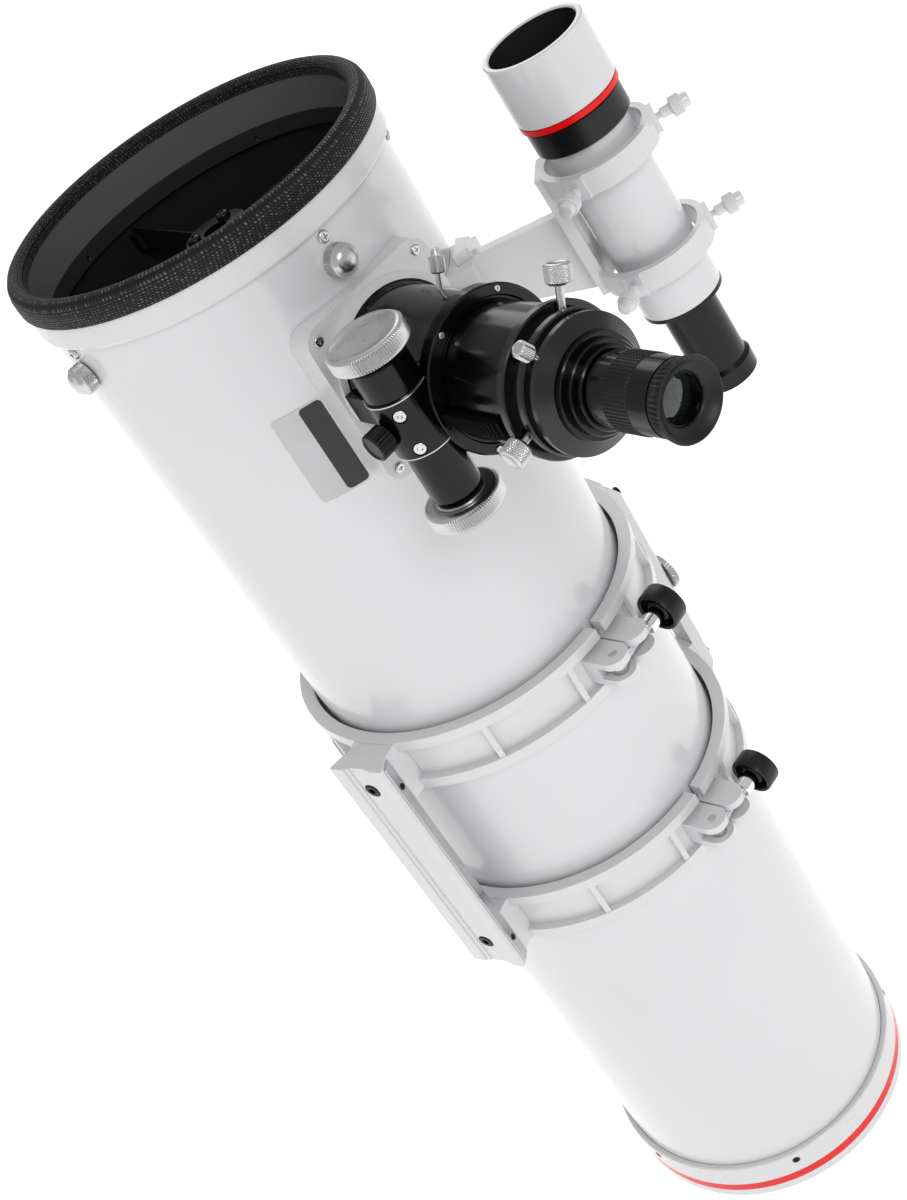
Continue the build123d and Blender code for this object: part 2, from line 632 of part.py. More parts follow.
def ring_half(bottom, side):
    """Half a tube ring: side 1 carries the handle, side -1 the mounting bar."""
    top = bottom + ring_height
    lug_top = top - lug_drop
    lug_bottom = lug_top - lug_height
    if side < 0:
        knuckle_spans = ((bottom, knuckle_height), (top - knuckle_height, knuckle_height))
        slot_floor = 131.0
        boss_end, boss_width = -bar_inner_face - 0.2, 34.0
        boss_turn = -90.0 - clamp_turn
    else:
        knuckle_spans = ((bottom + knuckle_height + 0.4, ring_height - 2 * knuckle_height - 0.8),)
        slot_floor = 135.5
        boss_end, boss_width = handle_inner - 0.2, 20.0
        boss_turn = handle_angle - clamp_turn
    with BuildPart() as half:
        with BuildSketch(Plane.XY.offset(bottom)):
            Circle(ring_outer)
            Circle(ring_inner, mode=Mode.SUBTRACT)
        extrude(amount=ring_height)
        with BuildSketch(Plane.XY.offset(bottom + ring_rim)):
            Circle(ring_outer + 5)
            Circle(ring_web, mode=Mode.SUBTRACT)
        extrude(amount=ring_height - 2 * ring_rim, mode=Mode.SUBTRACT)
        # short ribs across the channel, and the boss that carries the bar or the handle
        with BuildSketch(Plane.XY.offset(bottom + 1)):
            with PolarLocations(ring_web + 1.0, 12, start_angle=15):
                Rectangle(8.0, 4.0)
            with PolarLocations((ring_web + boss_end) / 2 - 0.5, 1, start_angle=boss_turn):
                Rectangle(boss_end - ring_web + 1.0, boss_width)
        extrude(amount=ring_height - 2)
        with Locations((0, side * (ring_split - 200), bottom + ring_height / 2)):
            Box(400, 400, 400, mode=Mode.SUBTRACT)
        # clamp lug, rounded at its outer end
        with BuildSketch(Plane.XY.offset(lug_bottom)):
            with Locations((lug_x - 11, side * lug_y)):
                Rectangle(22, 2 * lug_round)
            with Locations((lug_x, side * lug_y)):
                Circle(lug_round)
            Circle(ring_inner, mode=Mode.SUBTRACT)
        extrude(amount=lug_height)
        with Locations((slot_floor + 20, side * lug_y, lug_top - lug_height / 2)):
            Box(40, 40, slot_height, mode=Mode.SUBTRACT)
        # hinge knuckles opposite the clamp
        for start, length in knuckle_spans:
            with BuildSketch(Plane.XY.offset(start)):
                with Locations((hinge_x, 0)):
                    Circle(6.0)
                with Locations((hinge_x + 7.75, side * 3.15)):
                    Rectangle(15.5, 5.7)
            extrude(amount=length)
        with Locations((hinge_x, 0, bottom + ring_height / 2)):
            Cylinder(3.0, 100, mode=Mode.SUBTRACT)
        if side < 0:
            with Locations((lug_x, side * lug_y, bottom + ring_height / 2)):
                Cylinder(3.0, 100, mode=Mode.SUBTRACT)
            with Locations(outward(boss_turn, bottom + ring_height / 2, bar_hole_depth)):
                Cylinder(3.2, 60, mode=Mode.SUBTRACT)
        else:
            with Locations(outward(boss_turn, bottom + ring_height / 2, ring_web)):
                Cylinder(2.2, 40, mode=Mode.SUBTRACT)
    return half.part.rotate(Axis.Z, clamp_turn)


for name, bottom in ring_bottoms.items():
    finish(ring_half(bottom, -1), f"ring_lower_{name}")
    finish(ring_half(bottom, 1), f"ring_upper_{name}")

with BuildPart() as ring_liners:
    for bottom in ring_bottoms.values():
        with BuildSketch(Plane.XY.offset(bottom + 6)):
            Circle(liner_outer)
            Circle(liner_inner, mode=Mode.SUBTRACT)
            Rectangle(300, 8, mode=Mode.SUBTRACT)
        extrude(amount=ring_height - 12)
finish(ring_liners.part.rotate(Axis.Z, clamp_turn), "ring_liners")

with BuildPart() as ring_pins:
    for bottom in ring_bottoms.values():
        with BuildSketch(Plane.XY.offset(bottom + 0.4)):
            with Locations((hinge_x, 0)):
                Circle(2.9)
        extrude(amount=ring_height - 0.8)
        with BuildSketch(Plane.XY.offset(bottom + ring_height - lug_drop - lug_height + 0.4)):
            with Locations((lug_x, -lug_y)):
                Circle(2.9)
        extrude(amount=lug_height - 0.8)
finish(ring_pins.part.rotate(Axis.Z, clamp_turn), "ring_pins")

for name, bottom in ring_bottoms.items():
    bolt_height = bottom + ring_height - lug_drop - lug_height / 2
    bolt_plane = Plane(origin=(lug_x, -lug_y, bolt_height), x_dir=(1, 0, 0), z_dir=(0, 1, 0))
    with BuildPart() as clamp_bolt:
        with BuildSketch(Plane.XY.offset(bolt_height - bolt_eye_half)):
            with Locations((lug_x, -lug_y)):
                Circle(5.5)
        extrude(amount=2 * bolt_eye_half)
        with BuildSketch(bolt_plane):
            Circle(bolt_radius)
        extrude(amount=bolt_end + lug_y)
        with Locations((lug_x, -lug_y, bolt_height)):
            Cylinder(2.96, 30, mode=Mode.SUBTRACT)
    finish(clamp_bolt.part.rotate(Axis.Z, clamp_turn), f"clamp_bolt_{name}")
    knob_outline = [
        (bolt_radius + running_clearance, sleeve_start), (6.0, sleeve_start), (6.0, knob_start + 2.5),
        (10.8, knob_start + 2.5), (11.4, knob_start), (14.0, knob_start), (15.0, knob_start + 1.2),
        (15.0, knob_end - 1.5), (13.6, knob_end), (0, knob_end), (0, knob_end - 3.0),
        (bolt_radius + running_clearance, knob_end - 3.0),
    ]
    knob_plane = Plane(origin=(lug_x, 0, bolt_height), x_dir=(1, 0, 0), z_dir=(0, 1, 0))
    finish(turned(knob_plane, knob_outline).rotate(Axis.Z, clamp_turn), f"clamp_knob_{name}")

# ==== Mounting bar and handle ====

bar_middle = (bar_bottom + bar_top) / 2
bar_length = bar_top - bar_bottom
with BuildPart() as dovetail_bar:
    with BuildSketch(Plane.XY.offset(bar_bottom)):
        with BuildLine():
            Polyline(
                (-22, -150), (-11, -150), (-11, -149), (-7, -149), (-7, -148), (7, -148), (7, -149),
                (11, -149), (11, -150), (22, -150), (22, -147.5), (17.5, -137), (-17.5, -137),
                (-22, -147.5), close=True,
            )
        make_face()
    extrude(amount=bar_length)
    with Locations(*[Plane(origin=(0, bar_face, height), z_dir=(0, 1, 0)) for height in bar_bolt_heights]):
        CounterBoreHole(3.2, 5.8, 6.5, depth=40)
finish(dovetail_bar.part, "dovetail_bar")

strip_plane = Plane(origin=(19.75, -142.25, bar_middle), x_dir=(-0.394, 0.919, 0), z_dir=(0.919, 0.394, 0))
strip_screw_spots = [(0, -80), (0, 80)]
with BuildPart() as steel_strip:
    with BuildSketch(strip_plane.offset(0.1)):
        Rectangle(9.5, bar_length - 4)
        with Locations(*strip_screw_spots):
            Circle(1.3, mode=Mode.SUBTRACT)
    extrude(amount=1.2)
finish(steel_strip.part, "steel_strip")

bar_bolt = socket_screw(5.2, 5.2, 2.9, 18.0)
strip_screw = crosshead_screw(2.3, 1.0, 1.0, 1.1)
handle_bolt = socket_screw(3.8, 3.0, 2.0, 14.0)
with BuildPart() as cradle_screws:
    with Locations(*[
        Plane(origin=(0, -143.4, height), x_dir=(1, 0, 0), z_dir=(0, -1, 0)) for height in bar_bolt_heights
    ]):
        add(bar_bolt)
    with Locations(strip_plane.offset(1.32)):
        with Locations(*strip_screw_spots):
            add(strip_screw)
    with Locations(*[outward(handle_angle, height, handle_outer + 0.02) for height in bar_bolt_heights]):
        add(handle_bolt)
finish(cradle_screws.part, "cradle_screws")

handle_plane = Plane(
    origin=(0, 0, 0),
    x_dir=outward(handle_angle, 0).z_dir,
    z_dir=outward(handle_angle, 0).x_dir,
)
with BuildPart() as carry_handle:
    with BuildSketch(handle_plane.offset(-handle_half_width)):
        with BuildLine():
            Polyline(
                (handle_inner, -bar_top + 8), (handle_inner, -bar_bottom - 8), (handle_inner + 3, -bar_bottom - 8),
                (handle_outer, -bar_bottom - 19), (handle_outer, -bar_top + 19), (handle_inner + 3, -bar_top + 8),
                close=True,
            )
        make_face()
    extrude(amount=2 * handle_half_width)
    chamfer(carry_handle.edges().filter_by(Axis.Z).sort_by_distance((0, 0, 0))[-2:], 1.5)
    with Locations(*[outward(handle_angle, height, handle_outer) for height in bar_bolt_heights]):
        Cylinder(2.2, 30, mode=Mode.SUBTRACT)
    with Locations(outward(handle_angle, camera_screw_height, handle_outer)):
        Cylinder(camera_screw_radius + running_clearance, 40, mode=Mode.SUBTRACT)
finish(carry_handle.part, "carry_handle")

camera_screw_outline = [
    (0, handle_inner - 0.2), (camera_screw_radius - 0.5, handle_inner - 0.2),
    (camera_screw_radius, handle_inner + 0.3), (camera_screw_radius, handle_outer + 1),
    (13.8, handle_outer + 1), (14.5, handle_outer + 1.6), (14.5, handle_outer + 5.2),
    (13.8, handle_outer + 5.8), (11.0, handle_outer + 5.8), (10.6, handle_outer + 5.2),
    (0, handle_outer + 5.2),
]
finish(turned(outward(handle_angle, camera_screw_height), camera_screw_outline), "camera_screw")

# ==== Finder ====

aim = radians(finder_angle)
tilt = radians(finder_tilt)
lean = (-sin(tilt) * cos(aim), -sin(tilt) * sin(aim), cos(tilt))
across = Vector(-sin(aim), cos(aim), 0)
finder = Plane(
    origin=(finder_distance * cos(aim), finder_distance * sin(aim), finder_height),
    x_dir=across,
    z_dir=lean,
)
shoe_plane = Plane(origin=(0, 0, 0), x_dir=(cos(aim), sin(aim), 0), z_dir=(0, 0, 1))
screw_angles = (-110, 10, 130)

with BuildPart() as finder_shoe:
    with BuildSketch(shoe_plane.offset(shoe_bottom)):
        with Locations((122.5, 0)):
            Rectangle(17.0, 38.0)
        Circle(tube_radius + 0.25, mode=Mode.SUBTRACT)
        with BuildLine():
            Polyline((121.2, -11.9), (121.2, 11.9), (129.5, 7.9), (131.5, 7.9), (131.5, -7.9), (129.5, -7.9),
                     close=True)
        make_face(mode=Mode.SUBTRACT)
    extrude(amount=shoe_top - shoe_bottom)
    with Locations(Plane(
        origin=shoe_plane.from_local_coords(Vector(125.4, -15, shoe_screw_height)), x_dir=(0, 0, 1),
        z_dir=-across,
    )):
        Cylinder(2.0 + running_clearance, 12, mode=Mode.SUBTRACT)
finish(finder_shoe.part, "finder_shoe")

shoe_screw_plane = Plane(
    origin=shoe_plane.from_local_coords(Vector(125.4, 0, shoe_screw_height)), x_dir=(0, 0, 1), z_dir=-across,
)
finish(turned(shoe_screw_plane, [
    (0, 12.4), (2.0, 12.4), (2.0, 22.0), (5.2, 22.0), (6.0, 22.8), (6.0, 29.6), (4.6, 31.0), (0, 31.4),
]), "shoe_thumbscrew")

stalk_plane = Plane(origin=(0, 0, 0), x_dir=(cos(aim), sin(aim), 0), z_dir=-across)
with BuildPart() as finder_bracket:
    for start, length in finder_ring_spans:
        with BuildSketch(finder.offset(start)):
            Circle(finder_ring_outer)
            for angle in screw_angles:
                with PolarLocations(finder_ring_outer - 1.0, 1, start_angle=angle - 90):
                    Rectangle(6.0, 12.0)
            Circle(finder_ring_inner, mode=Mode.SUBTRACT)
        extrude(amount=length)
    with BuildSketch(finder.offset(finder_ring_spans[0][0])):
        with Locations((0, 33.3)):
            Rectangle(28.0, 7.4)
        Circle(finder_ring_inner, mode=Mode.SUBTRACT)
    extrude(amount=finder_ring_spans[1][0] + finder_ring_spans[1][1] - finder_ring_spans[0][0])
    with BuildSketch(stalk_plane.offset(-4.0)):
        with BuildLine():
            Polyline((129.0, 762), (129.0, 799), (191.0, 801.5), (193.0, 748), close=True)
        make_face()
    extrude(amount=8.0)
    with BuildSketch(shoe_plane.offset(foot_bottom)):
        with BuildLine():
            Polyline((121.6, -11.2), (121.6, 11.2), (129.3, 7.5), (131.0, 7.5), (131.0, -7.5), (129.3, -7.5),
                     close=True)
        make_face()
    extrude(amount=foot_top - foot_bottom)
    for start, length in finder_ring_spans:
        with Locations(finder.offset(start + length / 2)):
            for angle in screw_angles:
                with Locations(Rotation(0, 0, angle - 90)):
                    with Locations(Rotation(0, 90, 0)):
                        Cylinder(2.0 + running_clearance, 60, align=(Align.CENTER, Align.CENTER, Align.MIN),
                                 mode=Mode.SUBTRACT)
finish(finder_bracket.part, "finder_bracket")

finder_thumbscrew = turned(Plane.YZ, [
    (0, 26.4), (2.0, 26.4), (2.0, 40.0), (3.4, 40.0), (3.4, 46.0), (5.4, 46.6), (6.0, 47.4), (6.0, 52.6),
    (4.4, 53.4), (4.4, 57.0), (3.6, 58.0), (0, 58.0),
])
with BuildPart() as finder_thumbscrews:
    for start, length in finder_ring_spans:
        with Locations(finder.offset(start + length / 2)):
            for angle in screw_angles:
                with Locations(Rotation(0, 0, angle - 90)):
                    add(finder_thumbscrew)
finish(finder_thumbscrews.part, "finder_thumbscrews")

finish(turned(finder, [
    (finder_radius, -54), (finder_radius, 88), (23.5, 88), (23.5, -50), (17.6, -50), (17.6, -54),
]), "finder_tube")
finish(turned(finder, [
    (25.58, 88.5), (25.58, 86.9), (30.4, 86.9), (31.0, 87.5), (31.0, 124.8), (30.2, 125.6), (28.0, 125.6),
    (27.0, 124.6), (27.0, 88.5),
]), "finder_objective_cell")
finish(turned(finder, [(25.58, 83.2), (31.0, 83.2), (31.0, 86.7), (25.58, 86.7)]), "finder_red_ring")
finish(turned(finder, [
    (25.58, 66.0), (28.6, 66.0), (29.5, 66.9), (29.5, 81.6), (28.6, 82.6), (25.58, 82.6),
]), "finder_lock_ring")
finish(turned(finder, [
    (0, 91.0), (26.9, 93.0), (26.9, 96.4), (14.0, 99.0), (0, 100.0),
]), "finder_lens")
finish(turned(finder, [
    (15.0, -112.0), (19.5, -118.0), (19.5, -107.5), (17.4, -105.0), (17.4, -57.4), (25.0, -57.2),
    (25.7, -56.6), (25.7, -54.2), (17.4, -54.2), (17.4, -46.0), (15.0, -46.0),
]), "finder_eyepiece")
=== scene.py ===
from math import cos, pi, radians, sin

import bmesh
import bpy
from mathutils import Matrix, Vector


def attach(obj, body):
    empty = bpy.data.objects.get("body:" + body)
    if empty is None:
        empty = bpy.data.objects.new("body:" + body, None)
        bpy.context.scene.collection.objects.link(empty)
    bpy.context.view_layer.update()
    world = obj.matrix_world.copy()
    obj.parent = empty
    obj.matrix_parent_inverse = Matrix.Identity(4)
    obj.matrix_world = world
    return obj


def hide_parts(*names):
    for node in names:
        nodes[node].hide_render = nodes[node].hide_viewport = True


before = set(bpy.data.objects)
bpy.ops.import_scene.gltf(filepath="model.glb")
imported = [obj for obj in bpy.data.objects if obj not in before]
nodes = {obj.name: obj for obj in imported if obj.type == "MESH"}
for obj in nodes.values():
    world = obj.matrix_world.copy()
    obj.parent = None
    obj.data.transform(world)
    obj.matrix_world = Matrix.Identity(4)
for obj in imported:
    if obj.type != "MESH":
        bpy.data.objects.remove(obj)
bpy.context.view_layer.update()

MM = 0.001

# ---- Directions of the part's own axes, as the CAD has them ----
focus_angle = radians(-16.1)
U = Vector((cos(focus_angle), sin(focus_angle), 0))
V = Vector((-sin(focus_angle), cos(focus_angle), 0))
Z = Vector((0, 0, 1))
focus_origin = Vector((0, 0, 798))
handle_angle = radians(68.0)
finder_angle = radians(26.3)
finder_tilt = radians(3.56)
finder_out = Vector((cos(finder_angle), sin(finder_angle), 0))
finder_side = Vector((-sin(finder_angle), cos(finder_angle), 0))
finder_axis = Vector((-sin(finder_tilt) * cos(finder_angle), -sin(finder_tilt) * sin(finder_angle),
                      cos(finder_tilt)))
finder_origin = finder_out * 226.1 + Z * 777

# ---- Driving sizes, in millimetres ----
tube_radius = 115.0
thread_length, thread_row = 2.4, 1.5
vane_knob_height = 864.0
wheel_radius, wheel_ribs = 23.0, 88
upper_wheel_start, lower_wheel_start = 47.0, -46.4
clamp_heights = {"rear": 379.6, "front": 541.7}
camera_screw_height = 460.6


# ==== Materials ====

class Graph:
    """A short way to write a node material."""

    def __init__(self, name):
        self.material = bpy.data.materials.new(name)
        self.material.use_nodes = True
        self.tree = self.material.node_tree
        self.tree.nodes.clear()
        self.out = self.tree.nodes.new("ShaderNodeOutputMaterial")
        self.shader = self.tree.nodes.new("ShaderNodeBsdfPrincipled")
        self.tree.links.new(self.shader.outputs[0], self.out.inputs[0])
        self.coords = self.tree.nodes.new("ShaderNodeTexCoord").outputs["Object"]

    def link(self, source, target):
        self.tree.links.new(source, target)

    def noise(self, scale, detail=3.0, stretch=None, roughness=0.5):
        node = self.tree.nodes.new("ShaderNodeTexNoise")
        node.inputs["Scale"].default_value = scale
        node.inputs["Detail"].default_value = detail
        node.inputs["Roughness"].default_value = roughness
        source = self.coords
        if stretch:
            mapping = self.tree.nodes.new("ShaderNodeMapping")
            mapping.inputs["Scale"].default_value = stretch
            self.link(self.coords, mapping.inputs["Vector"])
            source = mapping.outputs[0]
        self.link(source, node.inputs["Vector"])
        return node.outputs["Fac"]

    def math(self, operation, *values, clamp=False):
        node = self.tree.nodes.new("ShaderNodeMath")
        node.operation = operation
        node.use_clamp = clamp
        for i, value in enumerate(values):
            if isinstance(value, (int, float)):
                node.inputs[i].default_value = value
            else:
                self.link(value, node.inputs[i])
        return node.outputs[0]

    def remap(self, value, low, high, to_low, to_high):
        node = self.tree.nodes.new("ShaderNodeMapRange")
        for i, v in enumerate((low, high, to_low, to_high)):
            node.inputs[i + 1].default_value = v
        self.link(value, node.inputs[0])
        return node.outputs[0]

    def mix(self, factor, a, b):
        node = self.tree.nodes.new("ShaderNodeMix")
        node.data_type = "RGBA"
        sockets = [s for s in node.inputs if s.enabled]
        for socket, value in zip(sockets, (factor, a, b)):
            if isinstance(value, (int, float)):
                socket.default_value = value
            elif isinstance(value, tuple):
                socket.default_value = (*value, 1.0)
            else:
                self.link(value, socket)
        return [s for s in node.outputs if s.enabled][0]

    def xyz(self):
        node = self.tree.nodes.new("ShaderNodeSeparateXYZ")
        self.link(self.coords, node.inputs[0])
        return node.outputs

    def bump(self, height, distance, strength=1.0):
        node = self.tree.nodes.new("ShaderNodeBump")
        node.inputs["Distance"].default_value = distance
        node.inputs["Strength"].default_value = strength
        self.link(height, node.inputs["Height"])
        return node.outputs[0]

    def put(self, **sockets):
        names = {"color": "Base Color", "rough": "Roughness", "metal": "Metallic", "normal": "Normal",
                 "coat": "Coat Weight", "coat_rough": "Coat Roughness", "spec": "Specular IOR Level",
                 "sheen": "Sheen Weight", "trans": "Transmission Weight", "ior": "IOR"}
        for key, value in sockets.items():
            socket = self.shader.inputs[names[key]]
            if isinstance(value, (int, float)):
                socket.default_value = value
            elif isinstance(value, tuple):
                socket.default_value = (*value, 1.0)
            else:
                self.link(value, socket)


def shade(color, k):
    return tuple(min(1.0, c * k) for c in color)


def surface(name, color, rough, metal=0.0, vary=0.05, blotch=14.0, grain=900.0, grain_depth=0.00002,
            spread=0.06, stretch=None, **more):
    """A plain surface with cloudy colour, uneven gloss and a fine grain."""
    g = Graph(name)
    cloud = g.noise(blotch, 4.0)
    base = g.mix(g.remap(cloud, 0.3, 0.7, 0.0, 1.0), shade(color, 1 - vary), shade(color, 1 + vary))
    fine = g.noise(grain, 3.0, stretch)
    gloss = g.math("ADD", g.remap(g.noise(blotch * 3.1, 3.0), 0.3, 0.7, rough - spread, rough + spread),
                   g.remap(fine, 0.3, 0.7, -spread * 0.4, spread * 0.4), clamp=True)
    g.put(color=base, rough=gloss, metal=metal, normal=g.bump(fine, grain_depth), **more)
    return g


WHITE = (0.69, 0.69, 0.703)
CAST_WHITE = (0.69, 0.69, 0.70)
GLOSS_BLACK = (0.003, 0.003, 0.0033)
INNER_BLACK = (0.012, 0.012, 0.013)

# Where one node wears two paints: everything nearer the axis than this is lining.
LINING_RADIUS = 0.1146
LINING_STEP = 0.886
RED_LINE_BOTTOM, RED_LINE_TOP = 0.0088, 0.0168
RED_LINE_RADIUS = 0.1190
FINDER_HOOD_RADIUS = 0.0272
FOCUSER_FOOT_TOP = 0.1282


def radius_node(g):
    x, y, z = g.xyz()
    return g.math("SQRT", g.math("ADD", g.math("MULTIPLY", x, x), g.math("MULTIPLY", y, y))), z


def tube_material():
    """Gloss white outside with a faint orange peel, sooty black inside."""
    g = surface("tube_paint", WHITE, 0.20, vary=0.012, blotch=5.0, grain=420.0, grain_depth=0.000012,
                spread=0.04, coat=0.4, coat_rough=0.1)
    radius, _ = radius_node(g)
    inside = g.math("LESS_THAN", radius, LINING_RADIUS)
    base = g.shader.inputs["Base Color"].links[0].from_socket
    gloss = g.shader.inputs["Roughness"].links[0].from_socket
    soot = g.mix(g.noise(60.0, 4.0), shade(INNER_BLACK, 0.7), shade(INNER_BLACK, 1.6))
    g.put(color=g.mix(inside, base, soot),
          rough=g.math("MAXIMUM", gloss, g.math("MULTIPLY", inside, 0.85)))
    return g.material


def front_ring_material():
    g = surface("front_ring_paint", CAST_WHITE, 0.26, vary=0.012, blotch=9.0, grain=700.0,
                grain_depth=0.000006, coat=0.2, coat_rough=0.15)
    radius, z = radius_node(g)
    inside = g.math("LESS_THAN", radius, LINING_RADIUS)
    base = g.shader.inputs["Base Color"].links[0].from_socket
    upper_band = g.math("GREATER_THAN", z, LINING_STEP)
    lining = g.mix(upper_band, (0.045, 0.045, 0.047), (0.17, 0.17, 0.174))
    g.put(color=g.mix(inside, base, lining))
    return g.material


def rear_cell_material():
    """White casting with a painted red line round it."""
    g = surface("rear_cell_paint", CAST_WHITE, 0.24, vary=0.012, blotch=9.0, grain=700.0,
                grain_depth=0.000006, coat=0.1, coat_rough=0.2)
    radius, z = radius_node(g)
    line = g.math("MULTIPLY", g.math("GREATER_THAN", z, RED_LINE_BOTTOM),
                  g.math("LESS_THAN", z, RED_LINE_TOP))
    line = g.math("MULTIPLY", line, g.math("GREATER_THAN", radius, RED_LINE_RADIUS))
    base = g.shader.inputs["Base Color"].links[0].from_socket
    red = g.mix(g.noise(30.0), (0.70, 0.0, 0.0), (0.80, 0.002, 0.001))
    g.put(color=g.mix(line, base, red))
    return g.material


def woven_trim():
    """Black woven edging: rows of short slanted threads, with painted highlights on the crests of some
    threads and painted shade in the grooves between them.
    """
    g = Graph("woven_trim")
    x, y, z = g.xyz()
    radius, _ = radius_node(g)
    along = g.math("MULTIPLY", g.math("ARCTAN2", y, x), tube_radius / thread_length)
    across = g.math("MULTIPLY", g.math("ADD", radius, z), 1 / (thread_row * MM))
    # Neighbouring rows are offset by half a thread, and each thread leans.
    row = g.math("FLOOR", across)
    offset = g.math("ADD", along, g.math("MULTIPLY", row, 0.5))
    shifted = g.math("ADD", offset, g.math("MULTIPLY", across, 0.35))
    hump_along = g.math("ABSOLUTE", g.math("SINE", g.math("MULTIPLY", shifted, pi)))
    hump_across = g.math("ABSOLUTE", g.math("SINE", g.math("MULTIPLY", across, pi)))
    weave = g.math("MULTIPLY", hump_along, hump_across)
    joined = g.tree.nodes.new("ShaderNodeCombineXYZ")
    g.link(g.math("FLOOR", shifted), joined.inputs[0])
    g.link(row, joined.inputs[1])
    random = g.tree.nodes.new("ShaderNodeTexWhiteNoise")
    g.link(joined.outputs[0], random.inputs["Vector"])
    # Painted highlight: a random share of thread crests is lifted to light grey in the base colour.
    bright = g.remap(random.outputs["Value"], 0.35, 1.0, 0.0, 0.55)
    top = g.remap(weave, 0.55, 0.9, 0.0, 1.0)
    # Painted shade: the grooves between threads are coloured darker than the crests.
    dark = g.mix(weave, (0.002, 0.002, 0.002), (0.014, 0.014, 0.015))
    g.put(color=g.mix(g.math("MULTIPLY", bright, top, clamp=True), dark, (0.30, 0.30, 0.31)),
          rough=g.remap(weave, 0, 1, 0.65, 0.34), normal=g.bump(weave, 0.0005, 0.9))
    return g.material


def brushed(name, color, rough=0.26, axis="Z", scale=260.0):
    stretch = {"X": (0.05, 1, 1), "Y": (1, 0.05, 1), "Z": (1, 1, 0.05)}[axis]
    return surface(name, color, rough, metal=1.0, vary=0.05, blotch=30.0, grain=scale * 6,
                   grain_depth=0.000012, spread=0.06, stretch=stretch).material


def focuser_body_material():
    """Gloss black, on a foot painted white like the base under it."""
    g = surface("focuser_body_paint", GLOSS_BLACK, 0.17, vary=0.15, blotch=20.0, grain=700.0,
                grain_depth=0.000006, spread=0.03, spec=0.4, coat=0.12, coat_rough=0.06)
    along = g.tree.nodes.new("ShaderNodeVectorMath")
    along.operation = "DOT_PRODUCT"
    along.inputs[1].default_value = U
    g.link(g.coords, along.inputs[0])
    foot = g.math("LESS_THAN", along.outputs["Value"], FOCUSER_FOOT_TOP)
    base = g.shader.inputs["Base Color"].links[0].from_socket
    g.put(color=g.mix(foot, base, CAST_WHITE))
    return g.material


def finder_cell_material():
    """White outside, dull dark grey in the hood."""
    g = surface("finder_cell_paint", WHITE, 0.24, vary=0.012, blotch=12.0, grain=600.0,
                grain_depth=0.000006, coat=0.3, coat_rough=0.1)
    offset = g.tree.nodes.new("ShaderNodeVectorMath")
    offset.operation = "SUBTRACT"
    offset.inputs[1].default_value = finder_origin * MM
    g.link(g.coords, offset.inputs[0])
    cross = g.tree.nodes.new("ShaderNodeVectorMath")
    cross.operation = "CROSS_PRODUCT"
    cross.inputs[1].default_value = finder_axis
    g.link(offset.outputs[0], cross.inputs[0])
    length = g.tree.nodes.new("ShaderNodeVectorMath")
    length.operation = "LENGTH"
    g.link(cross.outputs[0], length.inputs[0])
    inside = g.math("LESS_THAN", length.outputs["Value"], FINDER_HOOD_RADIUS)
    base = g.shader.inputs["Base Color"].links[0].from_socket
    g.put(color=g.mix(inside, base, (0.035, 0.035, 0.037)))
    return g.material


